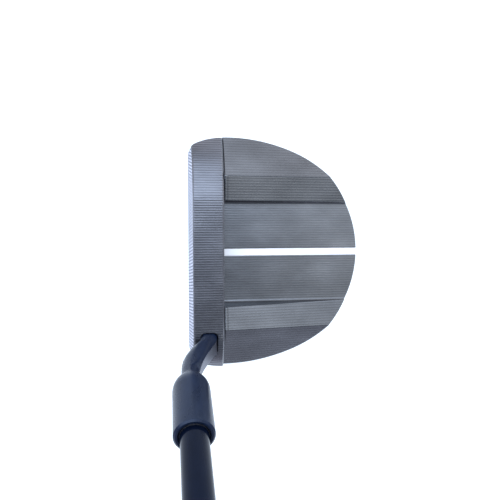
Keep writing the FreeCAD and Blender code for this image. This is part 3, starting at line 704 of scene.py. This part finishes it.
def make_shaft():
    """Stepped tube with eased steps, turned round the shaft's axis."""
    outer = [(TIP_RADIUS, height) for height in (-BORE_DEPTH, 0.0, 60.0, 120.0)]
    for step in range(SHAFT_STEPS):
        low = TIP_RADIUS + (BUTT_RADIUS - TIP_RADIUS) * step / SHAFT_STEPS
        high = TIP_RADIUS + (BUTT_RADIUS - TIP_RADIUS) * (step + 1) / SHAFT_STEPS
        place = FIRST_STEP + STEP_SPACING * step
        for share in (0.0, 0.15, 0.4, 0.6, 0.85, 1.0):
            radius = low + (high - low) * smoothstep(share, 0.0, 1.0)
            outer.append((radius, place + STEP_LENGTH * share))
    outer += [(BUTT_RADIUS, 600.0), (BUTT_RADIUS, CLUB_TOP)]
    inner = [(radius - SHAFT_WALL, height) for radius, height in reversed(outer)]
    piece("shaft_tube", lathe(outer + inner), [SHAFT], ["shaft"])


def make_bond():
    """Ring of epoxy round the tip, with a meniscus in the mouth."""
    profile = [(TIP_RADIUS, -BORE_DEPTH), (BORE_RADIUS, -BORE_DEPTH), (BORE_RADIUS, -1.3),
               (5.02, -1.16), (5.2, -0.98), (5.12, -0.8), (5.0, -0.62), (4.88, -0.45),
               (TIP_RADIUS, -0.3)]
    piece("shaft_epoxy", lathe(profile), [EPOXY], ["shaft_bond"])


make_neck()
make_shaft()
make_bond()

# ---------------------------------------------------------------------------------------------
# Grip
# ---------------------------------------------------------------------------------------------

GRIP_LENGTH = 262.0
GRIP_MOUTH = CLUB_TOP - GRIP_LENGTH
# Share of the length from the mouth, radius of the round side, distance of the flat, shift.
GRIP_TABLE = [(0.0, 10.2, 8.9, 0.0), (0.25, 11.6, 9.3, 0.3), (0.55, 12.6, 9.6, 0.8),
              (0.8, 12.9, 9.7, 1.2), (1.0, 14.6, 9.8, 3.0)]
GRIP_POINTS = 180
GRIP_ROWS = 330
GRIP_BORE = 7.85
LOZENGE = 5.2                     # size of the moulded lozenges, mm
LOZENGE_DEPTH = 0.34
MEAN_RADIUS = 12.0                # turns an angle into a length round the grip, mm
CAP_HEIGHT = 5.0


def grip_numbers(share):
    """Radius, flat and shift at a share of the grip's length."""
    table = np.array(GRIP_TABLE)
    return [float(np.interp(share, table[:, 0], table[:, k])) for k in (1, 2, 3)]


def grip_ring(share, inset, relief=None):
    """One D-shaped section: a round back and a flat front."""
    radius, flat, shift = grip_numbers(share)
    radius, flat = radius - inset, flat - inset
    height = CLUB_TOP - GRIP_LENGTH * (1 - share)
    corner = math.acos(-(flat + shift) / radius)
    half_flat = radius * math.sin(corner)
    ring = []
    for k in range(GRIP_POINTS):
        a = 2 * math.pi * k / GRIP_POINTS
        a = a if a <= math.pi else a - 2 * math.pi
        if abs(a) > corner:
            x = -flat
            y = math.copysign(half_flat * (math.pi - abs(a)) / (math.pi - corner), a)
            out = Vector((-1.0, 0.0))
        else:
            x, y = shift + radius * math.cos(a), radius * math.sin(a)
            out = Vector((math.cos(a), math.sin(a)))
        lift = relief(a, corner, height) if relief else 0.0
        ring.append(Vector(((x + out.x * lift) * MM, (y + out.y * lift) * MM, height * MM)))
    return ring


def grip_relief(angle, corner, height):
    """Moulded texture: small lozenges between plain bands.  Nothing stands proud of the skin."""
    along = (height - GRIP_MOUTH) / GRIP_LENGTH
    band = smoothstep(along, 0.035, 0.05) * (1 - smoothstep(along, 0.955, 0.97))
    gap = abs(abs(angle) - corner)
    plain = smoothstep(gap, 0.10, 0.18)
    u = angle * MEAN_RADIUS
    first = math.sin(2 * math.pi * (u + height) / LOZENGE)
    second = math.sin(2 * math.pi * (u - height) / LOZENGE)
    cell = smoothstep(min(abs(first), abs(second)), 0.12, 0.5)
    return -LOZENGE_DEPTH * band * plain * (1 - cell)


def make_grip():
    rings = [grip_ring(0.0, 2.0), grip_ring(0.0, 0.5)]
    for k in range(GRIP_ROWS + 1):
        rings.append(grip_ring(0.0012 + 0.9985 * k / GRIP_ROWS, 0.0, grip_relief))
    rings.append(grip_ring(1.0, 0.35))
    rings.append(circle(GRIP_BORE, CLUB_TOP, GRIP_POINTS))
    rings.append(circle(GRIP_BORE, GRIP_MOUTH, GRIP_POINTS))
    bm = ring_mesh(rings, True)
    bm.transform(ALONG_SHAFT)
    piece("grip_sleeve", bm, [GRIP], ["grip"], sharp_deg=60)


def make_cap():
    """Moulded end cap with a rounded rim, a shallow dish and the vent."""
    low, high = CLUB_TOP, CLUB_TOP + CAP_HEIGHT
    # Height and inset from the grip's outline, then height and radius.
    rim = [(low, 0.4), (low + 0.3, 0.05), (low + 0.6, 0.0), (high - 1.5, 0.0), (high - 0.9, 0.15),
           (high - 0.4, 0.5), (high - 0.1, 1.1), (high, 1.8)]
    dish = [(high, 7.6), (high - 0.12, 7.2), (high - 0.5, 6.9), (high - 0.6, 6.4),
            (high - 0.6, 2.0), (high - 0.7, 1.65), (high - 1.0, 1.5), (low, 1.5)]
    rings = [[Vector((p.x, p.y, height * MM)) for p in grip_ring(1.0, inset)]
             for height, inset in rim]
    rings += [circle(radius, height, GRIP_POINTS) for height, radius in dish]
    bm = ring_mesh(rings, True)
    bm.transform(ALONG_SHAFT)
    piece("grip_end_cap", bm, [CAP], ["grip_cap"], sharp_deg=40)


make_grip()
make_cap()

# ---------------------------------------------------------------------------------------------
# Screws, pins, weights and the hidden pieces
# ---------------------------------------------------------------------------------------------


def softened(name, node, material, width_mm):
    """The CAD node's shape with softened edges."""
    bm = cad_mesh(node)
    soften(bm, width_mm)
    piece(name, bm, [material], [node])


for side in ("toe", "heel"):
    low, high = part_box(side + "_weight")
    middle = (low + high) / 2 / MM
    metal = turned(side + "_weight_steel", (0.50, 0.50, 0.52), 0.30, middle.x, middle.y)
    softened(side + "_weight_disc", side + "_weight", metal, 0.15)
for node, width in (("weight_screws", 0.10), ("neck_screw", 0.20), ("neck_pin", 0.20),
                    ("body_screws", 0.20), ("body_dowels", 0.30)):
    softened(node + "_steel", node, STEEL, width)
softened("weight_washers_nylon", "weight_washers", NYLON, 0.10)
for node, material in (("insert_bond", EPOXY), ("grip_tape", TAPE)):
    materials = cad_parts[node].data.materials
    materials.clear()
    materials.append(material)

# ---------------------------------------------------------------------------------------------
# Camera, floor and light
# ---------------------------------------------------------------------------------------------

scene = bpy.context.scene
scene.view_settings.view_transform = "Standard"


def make_camera():
    """The photograph's view, found by a least-squares fit to outline points read from it."""
    camera = bpy.data.objects.new("camera", bpy.data.cameras.new("camera"))
    scene.collection.objects.link(camera)
    camera.location = (-0.0172, -0.04585, 0.2533)
    camera.rotation_euler = [math.radians(a) for a in (-3.8777, -8.6154, 90.0645)]
    camera.data.lens = 39.248
    camera.data.sensor_width = 36
    camera.data.clip_start = 0.005
    scene.camera = camera


CEILING = (0.095, 0.108, 0.135)
HEEL_WALL = (0.185, 0.19, 0.235)
TOE_WALL = (0.40, 0.39, 0.42)
FAR_HEEL_WALL = (0.70, 0.76, 0.92)
TAIL_WINDOW_HEEL = (0.60, 0.62, 0.65)
TAIL_WINDOW_MIDDLE = (0.45, 0.47, 0.50)
TAIL_WINDOW_TOE = (0.62, 0.67, 0.77)
TOE_WINDOW = (1.18, 1.37, 1.68)
WORLD_STRENGTH = 3.0


def studio():
    """Dim above, a bright bluish window over the toe, a paler one over the tail, dusky walls."""
    world = bpy.data.worlds.new("studio")
    world.use_nodes = True
    tree = Nodes(world.node_tree)
    split = tree.nodes.new("ShaderNodeSeparateXYZ")
    tree.links.new(tree.nodes.new("ShaderNodeTexCoord").outputs["Generated"], split.inputs[0])
    x, y, z = split.outputs
    # Where a ray meets a ceiling one unit up: how far towards the toe and towards the tail.
    height = tree.math("MAXIMUM", z, 0.05)
    to_toe = tree.math("DIVIDE", tree.math("MULTIPLY", x, -1.0), height)
    to_tail = tree.math("DIVIDE", y, height)

    def rise(source, start, end):
        return tree.spread(source, 0.0, 1.0, start, end)

    def fall(source, start, end):
        return tree.spread(source, 1.0, 0.0, start, end)

    def window(source, start, full, fade, end):
        return tree.math("MULTIPLY", rise(source, start, full), fall(source, fade, end))

    walls = tree.mix(rise(to_toe, -0.3, 1.0), HEEL_WALL, TOE_WALL)
    walls = tree.mix(fall(to_toe, -14.0, -6.0), walls, FAR_HEEL_WALL)
    colour = tree.mix(rise(z, 0.25, 0.75), walls, CEILING)
    tail = tree.math("MULTIPLY", window(to_tail, 0.13, 0.22, 0.60, 0.85),
                     rise(to_toe, -0.29, -0.15))
    pale = tree.mix(rise(to_toe, -0.12, -0.03), TAIL_WINDOW_HEEL, TAIL_WINDOW_MIDDLE)
    pale = tree.mix(rise(to_toe, 0.0, 0.12), pale, TAIL_WINDOW_TOE)
    colour = tree.mix(tail, colour, pale)
    toe = tree.math("MULTIPLY", window(to_toe, 0.03, 0.08, 0.45, 1.4), fall(to_tail, 0.06, 0.19))
    colour = tree.mix(toe, colour, TOE_WINDOW)
    background = world.node_tree.nodes["Background"]
    tree.links.new(colour, background.inputs["Color"])
    background.inputs["Strength"].default_value = WORLD_STRENGTH
    scene.world = world


def softbox(name, place, target, width, height, power, colour):
    """A rectangular soft light that looks at a point."""
    light = bpy.data.lights.new(name, "AREA")
    light.shape = "RECTANGLE"
    light.size, light.size_y = width, height
    light.energy = power
    light.color = colour
    made = bpy.data.objects.new(name, light)
    scene.collection.objects.link(made)
    made.location = place
    made.rotation_euler = (Vector(target) - Vector(place)).to_track_quat("-Z", "Y").to_euler()


FLOOR_REACH = 5                   # metres each way from the middle
FLOOR_DROP = 0.2                  # gap under the sole, mm


def make_floor():
    """Pale paper under the club, which glows as well."""
    bm = bmesh.new()
    bmesh.ops.create_grid(bm, x_segments=1, y_segments=1, size=FLOOR_REACH)
    mesh = bpy.data.meshes.new("floor")
    bm.to_mesh(mesh)
    bm.free()
    paper = Shader("floor_paper", (0.3, 0.3, 0.3), 0.0, 0.85,
                   Emission_Color=(0.78, 0.88, 1.0, 1), Emission_Strength=1.15)
    mesh.materials.append(paper.material)
    floor = bpy.data.objects.new("floor", mesh)
    scene.collection.objects.link(floor)
    floor.location.z = -FLOOR_DROP * MM


HEAD = (0, 0, 0.015)
make_camera()
studio()
softbox("tail_box", (-0.95, 1.6, 0.95), HEAD, 1.8, 1.2, 14, (0.90, 0.95, 1.0))
make_floor()
